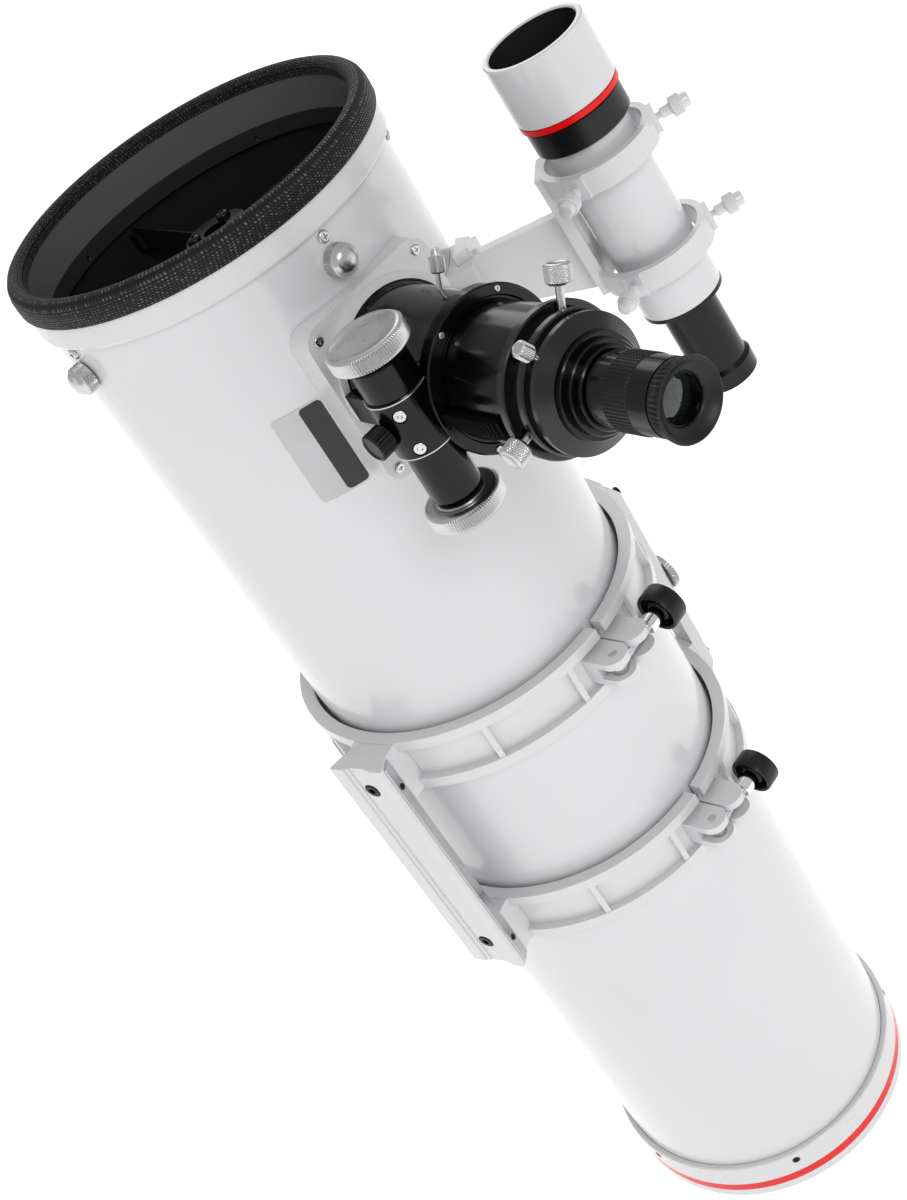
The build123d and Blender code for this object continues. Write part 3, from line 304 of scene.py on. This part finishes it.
MATERIALS = {
    "tube": tube_material(),
    "focuser_body": focuser_body_material(),
    "finder_cell": finder_cell_material(),
    "front_ring": front_ring_material(),
    "rear_cell": rear_cell_material(),
    "trim": woven_trim(),
    "cast": surface("cast_white", CAST_WHITE, 0.30, vary=0.008, blotch=12.0, grain=800.0,
                    grain_depth=0.000008, spread=0.03, coat=0.25, coat_rough=0.15).material,
    "finder_white": surface("finder_white", WHITE, 0.22, vary=0.012, blotch=12.0, grain=600.0,
                            grain_depth=0.000012, coat=0.5, coat_rough=0.08).material,
    "gloss_black": surface("gloss_black", GLOSS_BLACK, 0.17, vary=0.15, blotch=20.0,
                           grain=700.0, grain_depth=0.000006, spread=0.03, spec=0.4, coat=0.12,
                           coat_rough=0.06).material,
    "satin_black": surface("satin_black", (0.010, 0.010, 0.0105), 0.30, vary=0.12, blotch=25.0,
                           grain=1500.0, grain_depth=0.00001, spread=0.03).material,
    "flat_black": surface("flat_black", (0.010, 0.010, 0.010), 0.62, vary=0.2, blotch=40.0,
                          grain=1200.0, grain_depth=0.00002).material,
    "grey_body": surface("grey_body", (0.012, 0.012, 0.0125), 0.24, vary=0.1, blotch=25.0, grain=1400.0,
                         grain_depth=0.000008, spread=0.03, coat=0.3, coat_rough=0.1).material,
    "plastic": surface("knob_plastic", (0.010, 0.010, 0.010), 0.36, vary=0.15, blotch=45.0,
                       grain=1800.0, grain_depth=0.00002, spread=0.04).material,
    "rubber": surface("rubber", (0.012, 0.012, 0.0125), 0.42, vary=0.2, blotch=60.0, grain=2200.0,
                      grain_depth=0.00003, spread=0.05).material,
    "steel": brushed("steel", (0.62, 0.62, 0.63), 0.28),
    "black_steel": surface("black_steel", (0.012, 0.012, 0.013), 0.26, metal=0.4, vary=0.15,
                           blotch=80.0, grain=2400.0, grain_depth=0.000006, spread=0.04).material,
    "rack": surface("rack_black", (0.002, 0.002, 0.002), 0.6, vary=0.1, grain_depth=0.000004,
                    spec=0.2).material,
    "turned": surface("turned_silver", (0.60, 0.60, 0.605), 0.30, metal=1.0, vary=0.03, blotch=50.0,
                      grain=2600.0, grain_depth=0.000004, spread=0.04).material,
    "chrome": surface("chrome", (0.85, 0.85, 0.86), 0.06, metal=1.0, vary=0.02, blotch=40.0,
                      grain=900.0, grain_depth=0.000002, spread=0.03).material,
    "label_silver": surface("label_silver", (0.50, 0.50, 0.51), 0.34, metal=0.6, vary=0.05, blotch=40.0,
                            grain=900.0, grain_depth=0.000004, spread=0.03).material,
    "strip": brushed("brushed_strip", (0.66, 0.66, 0.67), 0.30, "Z", 500.0),
    "mirror": surface("mirror", (0.93, 0.94, 0.95), 0.012, metal=1.0, vary=0.01, blotch=3.0, grain=50.0,
                      grain_depth=0.0000002, spread=0.008).material,
    "red": surface("red_ring", (0.80, 0.001, 0.001), 0.34, metal=0.0, vary=0.08, blotch=30.0,
                   grain=1500.0, grain_depth=0.00001).material,
    "felt": surface("felt", (0.16, 0.16, 0.163), 0.95, vary=0.4, blotch=200.0, grain=3000.0,
                    grain_depth=0.0002, sheen=0.3).material,
    "spring": surface("spring_steel", (0.5, 0.5, 0.5), 0.3, metal=1.0, vary=0.1, blotch=90.0).material,
    "plate": surface("plate_black", (0.010, 0.010, 0.011), 0.28, vary=0.2, blotch=50.0, grain=1200.0,
                     coat=0.4, coat_rough=0.1).material,
    "floor": surface("pale_floor", (0.93, 0.93, 0.93), 0.7, vary=0.01, blotch=1.5, grain=40.0,
                     grain_depth=0.0001).material,
}


floor_shader = MATERIALS["floor"].node_tree.nodes["Principled BSDF"].inputs
floor_shader["Emission Color"].default_value = (1.0, 1.0, 1.0, 1.0)
floor_shader["Emission Strength"].default_value = 0.45


def glass(name, tint):
    g = Graph(name)
    g.put(color=g.mix(g.noise(25.0), shade(tint, 0.9), tint), rough=0.02, trans=0.85, ior=1.5,
          coat=1.0, coat_rough=0.02)
    g.link(g.remap(g.noise(120.0), 0.3, 0.7, 0.01, 0.035), g.shader.inputs["Roughness"])
    return g.material


MATERIALS["lens"] = glass("coated_lens", (0.06, 0.085, 0.09))

NODE_MATERIALS = {
    "tube": ("main_tube",),
    "front_ring": ("front_ring",),
    "rear_cell": ("rear_cell",),
    "trim": ("edge_trim",),
    "cast": ("focuser_base", "ring_lower_rear", "ring_lower_front", "ring_upper_rear",
        "ring_upper_front", "dovetail_bar", "carry_handle", "finder_shoe", "finder_bracket"),
    "finder_white": ("finder_tube",),
    "finder_cell": ("finder_objective_cell",),
    "focuser_body": ("focuser_body",),
    "gloss_black": ("drawtube", "spider_hub", "reducer", "eyepiece_body", "finder_eyepiece"),
    "satin_black": ("finder_lock_ring", "mirror_cell"),
    "flat_black": ("spider_vanes", "secondary_holder", "mirror_clips"),
    "grey_body": ("eyepiece_clamp",),
    "steel": ("front_ring_screws", "focuser_screws", "pinion_shaft", "collimation_screws",
        "ring_pins"),
    "black_steel": ("rear_cell_screws", "secondary_screws", "cradle_screws"),
    "rack": ("drawtube_rack",),
    "strip": ("steel_strip",),
    "mirror": ("primary_mirror", "secondary_mirror"),
    "red": ("finder_red_ring",),
    "felt": ("ring_liners",),
    "spring": ("collimation_springs",),
    "lens": ("eye_lens", "finder_lens"),
}
for key, names in NODE_MATERIALS.items():
    for name in names:
        for material_slot in nodes[name].material_slots:
            material_slot.link = "OBJECT"
            material_slot.material = MATERIALS[key]


# ==== Mesh tools ====

def tri(x):
    """A triangle wave of period 1 between 0 and 1."""
    return abs(2 * (x - int(x // 1)) - 1)


def straight(count):
    return lambda a, h: tri(count * a / (2 * pi))


def diamond(count, pitch):
    def groove(a, h):
        s = count * a / (2 * pi)
        return max(tri(s + h / pitch), tri(s - h / pitch))
    return groove


def chequer(count, pitch):
    def groove(a, h):
        return 1.0 if tri(count * a / (2 * pi)) > 0.62 or tri(h / pitch) > 0.62 else 0.0
    return groove


def thread(pitch):
    return lambda a, h: tri(h / pitch - a / (2 * pi))


class Shape:
    """Vertices and faces in millimetres, gathered from several turned or pressed forms."""

    def __init__(self):
        self.verts, self.faces, self.parts = [], [], []

    def lathe(self, origin, axis, across, outline, segments=96, pattern=None, part=0):
        """Turns a closed outline of (radius, height[, depth]) round an axis; depth is cut by the pattern."""
        axis, across = axis.normalized(), across.normalized()
        other = axis.cross(across)
        rows = []
        for point in outline:
            radius, height = point[0], point[1]
            depth = point[2] if len(point) > 2 else 0.0
            if radius <= 1e-6:
                rows.append([len(self.verts)])
                self.verts.append(origin + axis * height)
                continue
            row = []
            for i in range(segments):
                a = 2 * pi * i / segments
                r = radius - (depth * pattern(a, height) if depth else 0.0)
                row.append(len(self.verts))
                self.verts.append(origin + axis * height + (across * cos(a) + other * sin(a)) * r)
            rows.append(row)
        for lower, upper in zip(rows, rows[1:] + rows[:1]):
            if len(lower) == 1 and len(upper) == 1:
                continue
            for i in range(segments):
                j = (i + 1) % segments
                if len(lower) == 1:
                    face = (lower[0], upper[i], upper[j])
                elif len(upper) == 1:
                    face = (lower[i], lower[j], upper[0])
                else:
                    face = (lower[i], lower[j], upper[j], upper[i])
                self.faces.append(face)
                self.parts.append(part)
        return self

    def loft(self, loops, part=0, closed=False):
        """Joins equal loops of points with quads, and caps the ends unless the loops close on themselves."""
        start = len(self.verts)
        count = len(loops[0])
        for loop in loops:
            self.verts.extend(loop)
        pairs = list(range(len(loops) - 1)) + ([len(loops) - 1] if closed else [])
        for k in pairs:
            m = (k + 1) % len(loops)
            for i in range(count):
                j = (i + 1) % count
                self.faces.append((start + k * count + i, start + k * count + j,
                                   start + m * count + j, start + m * count + i))
                self.parts.append(part)
        if not closed:
            self.faces.append(tuple(start + i for i in range(count)))
            self.faces.append(tuple(start + (len(loops) - 1) * count + i for i in range(count)))
            self.parts.extend([part, part])
        return self

    def piece(self, name, body, slot, materials, replaced=(), sharp=32):
        mesh = bpy.data.meshes.new(name)
        mesh.from_pydata([tuple(v * MM) for v in self.verts], [], self.faces)
        for key in materials:
            mesh.materials.append(MATERIALS[key])
        for polygon, part in zip(mesh.polygons, self.parts):
            polygon.material_index = part
            polygon.use_smooth = True
        edit = bmesh.new()
        edit.from_mesh(mesh)
        bmesh.ops.recalc_face_normals(edit, faces=edit.faces)
        edit.to_mesh(mesh)
        edit.free()
        mesh.set_sharp_from_angle(angle=radians(sharp))
        made = bpy.data.objects.new(name, mesh)
        bpy.context.scene.collection.objects.link(made)
        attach(made, body)
        if replaced:
            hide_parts(*replaced)
        return made


def band(radius, low, high, rows, depth, edge=0.5):
    """The patterned part of an outline, with plain bevels at its two ends."""
    inner = [(radius, low + edge + (high - low - 2 * edge) * k / rows, depth) for k in range(rows + 1)]
    return [(radius - edge - depth * 0.5, low)] + inner + [(radius - edge - depth * 0.5, high)]


# ==== Knobs and screws ====

knobs = Shape()
for k in range(4):
    a = focus_angle + k * pi / 2
    out = Vector((cos(a), sin(a), 0))
    domed_end = [(8.0, 9.3), (7.6, 10.0), (6.4, 11.2), (4.8, 12.0), (2.6, 12.5), (0, 12.7), (0, 6.0)]
    outline = [(2.6, 0.4), (8.2, 0.4)] + band(9.4, 0.6, 8.6, 6, 0.45, 0.7) + domed_end + [(2.6, 6.0)]
    knobs.lathe(out * tube_radius + Z * vane_knob_height, out, Z, outline, 240, straight(60))
knobs.piece("spider_knobs", "tube", "silver", ["turned"], ["vane_knobs"])

trim = Shape().lathe(Vector((0, 0, 0)), Z, Vector((1, 0, 0)), [
    (119.75, 901.3), (120.9, 901.2), (121.4, 902.2), (121.5, 906.0), (121.4, 910.6), (120.6, 913.8),
    (118.9, 916.2), (116.6, 917.4), (114.4, 917.6), (112.4, 916.8), (110.6, 914.8), (109.7, 912.4),
    (109.3, 910.2), (109.3, 909.4), (109.75, 909.2), (109.8, 914.3), (119.75, 914.3)], 360)
trim.piece("woven_edge_trim", "tube", "trim_textile", ["trim"], ["edge_trim"], sharp=60)

pinion_origin = focus_origin + U * 190 - V * 48
wheel_parts = Shape()
for start, sign in ((upper_wheel_start, 1), (lower_wheel_start, -1)):
    outline = [(3.02, 0.1), (14.6, 0.1), (15.4, 0.5), (15.4, 1.3), (14.4, 1.7), (14.4, 2.2), (20.4, 2.2),
               (21.2, 2.5)] + band(wheel_radius, 3.0, 12.4, 4, 1.1, 0.7) + [
        (21.4, 12.9), (20.6, 13.3), (19.4, 13.5), (18.6, 13.3), (18.1, 12.8), (17.7, 12.6), (9.0, 12.45),
        (0, 12.4), (0, 10.9), (3.02, 10.9)]
    wheel_parts.lathe(pinion_origin + Z * start, Z * sign, U, outline, 6 * wheel_ribs, straight(wheel_ribs))
wheel_parts.piece("ribbed_focus_wheels", "pinion", "silver", ["turned"], ["focus_wheels"])

tension = Shape().lathe(
    pinion_origin + Z * 8.5, -V, Z,
    [(0, 6.0), (2.5, 6.0), (2.5, 18.2)] + band(8.4, 18.2, 29.4, 5, 0.8, 0.8) + [
        (6.6, 29.4), (6.2, 28.8), (3.0, 28.6), (0, 28.6)], 192, straight(24))
tension.piece("ribbed_tension_knob", "tension_knob", "knob_plastic", ["plastic"], ["tension_knob"])

lock_axis = V * cos(radians(65)) + Z * sin(radians(65))
lock = Shape().lathe(
    focus_origin + U * 168, lock_axis, U,
    [(0, 38.2), (1.6, 38.2), (1.6, 49.0), (3.2, 49.0)] + band(4.4, 49.4, 58.0, 10, 0.35, 0.5) + [
        (2.6, 58.2), (2.4, 60.0), (1.6, 61.6), (0.7, 62.1), (0, 62.2)], 120, straight(30))
lock.piece("knurled_lock_screw", "focus_lock", "silver", ["turned"], ["focus_lock_screw"])

for name, angle, distance, stem, head, start, length, pattern, segments in (
        ("upper_thumbscrew", 64, 265.6, 2.2, 7.2, 49.0, 11.0, diamond(34, 2.6), 272),
        ("side_thumbscrew", 120, 279.4, 1.6, 4.6, 40.5, 10.0, straight(26), 208),
        ("lower_thumbscrew", 188, 265.6, 2.2, 7.2, 42.0, 11.0, diamond(34, 2.6), 272)):
    axis = V * cos(radians(angle)) + Z * sin(radians(angle))
    end = start + length
    outline = [(0, 25.9), (stem, 25.9), (stem, start), (head * 0.72, start), (head * 0.78, start + 0.9)]
    outline += band(head, start + 1.0, end - 0.4, 22, 0.45, 0.55)
    outline += [(head * 0.72, end), (head * 0.60, end - 0.5), (0, end - 0.7)]
    made = Shape().lathe(focus_origin + U * distance, axis, U, outline, segments, pattern)
    made.piece(f"knurled_{name}", name, "silver", ["turned"], [name])

grip = Shape().lathe(
    focus_origin, U, Z,
    [(18.45, 310.7), (19.6, 310.7)] + band(20.5, 310.9, 327.8, 60, 0.55, 0.5) + [
        (19.6, 328.0), (18.45, 328.0)], 360, chequer(60, 2.1))
grip.piece("chequered_grip", "eyepiece", "rubber", ["rubber"], ["eyepiece_grip"], sharp=50)

cup = Shape().lathe(
    focus_origin, U, Z,
    [(17.65, 341.4), (19.3, 341.4), (19.6, 342.0, 0.2), (19.9, 343.4, 0.7), (20.5, 346.0, 0.8),
     (21.1, 348.6, 0.8), (21.5, 350.0, 0.4), (21.5, 350.6), (21.2, 351.3), (20.6, 351.4), (20.0, 351.1),
     (18.6, 349.7), (16.2, 347.9), (14.2, 347.0), (13.5, 346.6), (13.0, 345.8), (13.0, 345.2),
     (17.65, 345.2)],
    288, straight(48))
cup.piece("fluted_eyecup", "eyepiece", "rubber", ["rubber"], ["eyecup"])

clamp_turn = Matrix.Rotation(radians(-9.0), 3, "Z")
clamp_out = clamp_turn @ Vector((1, 0, 0))
for name, height in clamp_heights.items():
    pivot = clamp_turn @ Vector((140, -10.8, height))
    along = clamp_turn @ Vector((0, 1, 0))
    bolt = Shape()
    bolt.lathe(pivot, Z, along, [
        (2.96, -4.2), (5.2, -4.2), (5.5, -3.9), (5.5, 3.9), (5.2, 4.2), (2.96, 4.2)], 64)
    rows = 300
    screw_outline = [(0, 4.6), (3.2, 4.6)]
    screw_outline += [(3.5, 5.2 + (54.6 - 5.2) * k / rows, 0.42) for k in range(rows + 1)]
    screw_outline += [(2.8, 55.4), (0, 55.4)]
    bolt.lathe(pivot, along, clamp_out, screw_outline, 40, thread(1.25))
    bolt.piece(f"threaded_bolt_{name}", f"bolt_{name}", "steel", ["steel"], [f"clamp_bolt_{name}"],
               sharp=50)

    base = clamp_turn @ Vector((140, 0, height))
    knob = Shape()
    knob.lathe(base, along, clamp_out, [
        (3.56, 22.2), (5.5, 22.2), (6.0, 22.7), (6.0, 40.6), (3.56, 40.6)], 96, part=1)
    knob.lathe(base, along, clamp_out, [
        (6.02, 41.0), (6.02, 36.4), (7.0, 36.0), (7.8, 36.6), (8.0, 40.6), (12.0, 40.8), (12.3, 35.4),
        (12.8, 34.7), (13.8, 34.5), (14.6, 34.9), (15.0, 35.9), (15.0, 46.4), (14.5, 47.6), (13.4, 48.3),
        (12.0, 48.5), (5.0, 48.3), (4.6, 47.6), (0, 47.4), (0, 45.5), (3.56, 45.5), (3.56, 41.0)],
        128, part=0)
    knob.piece(f"clamp_hand_knob_{name}", f"knob_{name}", "knob_plastic", ["plastic", "chrome"],
               [f"clamp_knob_{name}"])

handle_out = Vector((cos(handle_angle), sin(handle_angle), 0))
camera_wheel = Shape().lathe(
    Z * camera_screw_height, handle_out, Z,
    [(0, 131.1), (2.6, 131.1), (3.175, 131.7), (3.175, 142.0), (13.0, 142.0)] +
    band(14.5, 142.1, 146.7, 5, 0.8, 0.5) + [(12.0, 146.8), (11.2, 146.2), (4.0, 146.0), (0, 146.0)],
    240, straight(40))
camera_wheel.piece("camera_wheel", "camera_screw", "silver", ["turned"], ["camera_screw"])

# The finder's thumbscrews have a plain collar, a ribbed head and a stepped end.
finder_screw = [(0, 26.4), (2.0, 26.4), (2.0, 40.0), (3.2, 40.0), (3.4, 40.3), (3.4, 46.0), (4.6, 46.2)]
finder_screw += band(6.0, 46.5, 53.2, 5, 0.35, 0.5)
finder_screw += [(4.6, 53.3), (4.4, 53.8), (4.4, 56.6), (4.0, 57.4), (3.0, 57.9), (0, 58.0)]
screws = Shape()
for start, length in ((-27.0, 14.0), (42.0, 14.0)):
    for angle in (-110, 10, 130):
        toward = finder_side * sin(radians(angle))
        toward -= finder_axis.cross(finder_side) * cos(radians(angle))
        screws.lathe(finder_origin + finder_axis * (start + length / 2), toward, finder_axis,
                     finder_screw, 120, straight(30))
screws.piece("finder_hand_screws", "bracket", "casting_paint", ["finder_white"], ["finder_thumbscrews"])

shoe_screw = Shape().lathe(
    finder_out * 125.4 + Z * 778, -finder_side, Z,
    [(0, 12.4), (2.0, 12.4), (2.0, 22.0), (4.8, 22.0)] + band(6.0, 22.3, 30.2, 5, 0.35, 0.5) + [
        (4.4, 30.6), (4.0, 31.2), (0, 31.4)], 120, straight(30))
shoe_screw.piece("shoe_hand_screw", "shoe_thumbscrew", "casting_paint", ["finder_white"],
                 ["shoe_thumbscrew"])

eye_glass = Shape().lathe(
    finder_origin - finder_axis * 112.0, -finder_axis, finder_side,
    [(0, -6.0), (14.9, -5.0), (14.9, -3.4), (11.0, -2.2), (6.0, -1.5), (0, -1.2)], 96)
eye_glass.piece("finder_eye_glass", "finder", "glass", ["lens"])

# ==== Label plate ====
# A thin curved plate on the tube: a bare silver strip beside a black field with a light border.

def bent_plate(shape, low_angle, high_angle, low, high, corner, inner, outer, part):
    """A thin plate with rounded corners, bent round the tube's axis."""
    middle_angle = radians(low_angle + high_angle) / 2
    half_arc = radians(high_angle - low_angle) / 2 * outer
    middle, half = (low + high) / 2, (high - low) / 2
    columns = 64
    loops = []
    for k in range(columns + 1):
        # Columns crowd towards the two ends, where the corners are.
        arc = -half_arc * cos(pi * k / columns)
        into_corner = max(0.0, abs(arc) - (half_arc - corner))
        reach = half - corner + max(0.0, corner ** 2 - into_corner ** 2) ** 0.5
        angle = middle_angle + arc / outer
        out = Vector((cos(angle), sin(angle), 0))
        loops.append([out * inner + Z * (middle - reach), out * outer + Z * (middle - reach),
                      out * outer + Z * (middle + reach), out * inner + Z * (middle + reach)])
    shape.loft(loops, part)


label = Shape()
bent_plate(label, -57.3, -41.0, 744.5, 806.0, 3.2, 115.02, 115.17, 0)
bent_plate(label, -48.6, -41.4, 745.6, 804.9, 3.0, 115.19, 115.34, 1)
label.piece("label_plate", "tube", "silver", ["label_silver", "plate"])

# Two bright rings turned on the pinion housing.
rings = Shape()
for height, radius in ((25.5, 17.6), (-9.2, 17.6)):
    rings.lathe(pinion_origin + Z * height, Z, U,
                [(radius + 0.02, 0), (radius + 0.22, 0.1), (radius + 0.22, 0.7), (radius + 0.02, 0.8)], 96)
rings.piece("housing_rings", "tube", "silver", ["turned"])

# ==== Stage, light and camera ====

floor_mesh = bpy.data.meshes.new("floor")
floor_half, floor_height = 6.0, -0.0006
floor_corners = [(x * floor_half, y * floor_half, floor_height)
                 for x, y in ((-1, -1), (1, -1), (1, 1), (-1, 1))]
floor_mesh.from_pydata(floor_corners, [], [(0, 1, 2, 3)])
floor_mesh.materials.append(MATERIALS["floor"])
floor = bpy.data.objects.new("floor", floor_mesh)
bpy.context.scene.collection.objects.link(floor)

world = bpy.data.worlds.new("studio")
world.use_nodes = True
world.node_tree.nodes["Background"].inputs["Color"].default_value = (1.0, 1.0, 1.0, 1.0)
world.node_tree.nodes["Background"].inputs["Strength"].default_value = 0.50
bpy.context.scene.world = world

# Each lamp's place and width in metres, and its power in watts.
lamps = {
    "key": ((2.6, -1.4, 2.8), 1.2, 26.0),
    "fill": ((-1.6, -2.8, 1.6), 2.2, 5.0),
    "back": ((-1.5, 2.6, 2.6), 2.0, 14.0),
}
middle = Vector((0.08, 0, 0.5))
for name, (spot, size, power) in lamps.items():
    lamp = bpy.data.lights.new(name, "AREA")
    lamp.size = size
    lamp.energy = power
    light = bpy.data.objects.new(name, lamp)
    light.location = spot
    light.rotation_euler = (middle - Vector(spot)).to_track_quat("-Z", "Y").to_euler()
    bpy.context.scene.collection.objects.link(light)

bpy.context.scene.view_settings.view_transform = "Standard"
bpy.context.scene.view_settings.look = "Medium High Contrast"
camera_place = Vector((0.80180, -0.66814, 1.24645))
view = Vector((-0.64581, 0.53526, -0.54446)).normalized()
right = Vector((0.76350, 0.45239, -0.46089))
right = (right - view * right.dot(view)).normalized()
up = right.cross(view)
camera_data = bpy.data.cameras.new("camera")
camera_data.lens = 54.86
camera_data.sensor_width = 36.0
camera_data.clip_end = 50.0
camera = bpy.data.objects.new("camera", camera_data)
turn = Matrix((right, up, -view)).transposed().to_4x4()
camera.matrix_world = Matrix.Translation(camera_place) @ turn
bpy.context.scene.collection.objects.link(camera)
bpy.context.scene.camera = camera
